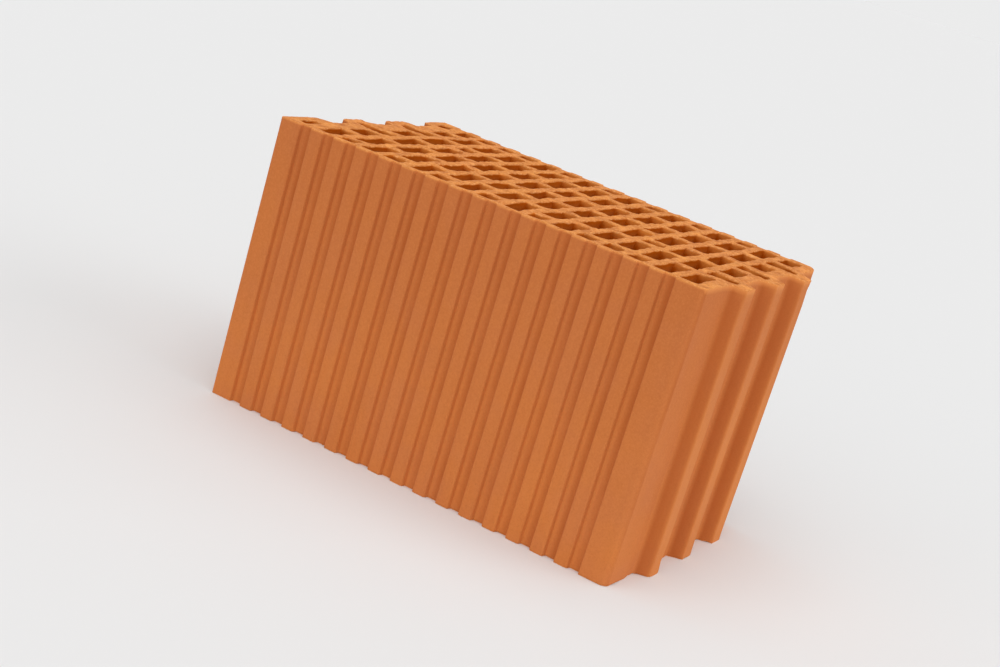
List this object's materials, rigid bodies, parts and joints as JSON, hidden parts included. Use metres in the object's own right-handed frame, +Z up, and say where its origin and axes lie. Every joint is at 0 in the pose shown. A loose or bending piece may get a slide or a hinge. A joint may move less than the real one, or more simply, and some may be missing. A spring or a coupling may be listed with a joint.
{
  "type": "perforated clay brick",
  "caption": "Vertically perforated clay brick with staggered through cells, plaster grooves on both faces, and a tongued and a grooved end that interlock in a course.",
  "frame": {"origin": "middle of the lower bed face's bounding rectangle, on the floor", "axes": "+X along the wall towards the tongued end, +Y from the front face to the back face, +Z up through the cells"},
  "size_m": [0.3936, 0.25, 0.238],
  "materials": {
    "fired_clay": "matt fired clay, extruded sides and wire-cut beds"
  },
  "bodies": {
    "root": {"clay_brick": "fired_clay"}
  },
  "joints": []
}
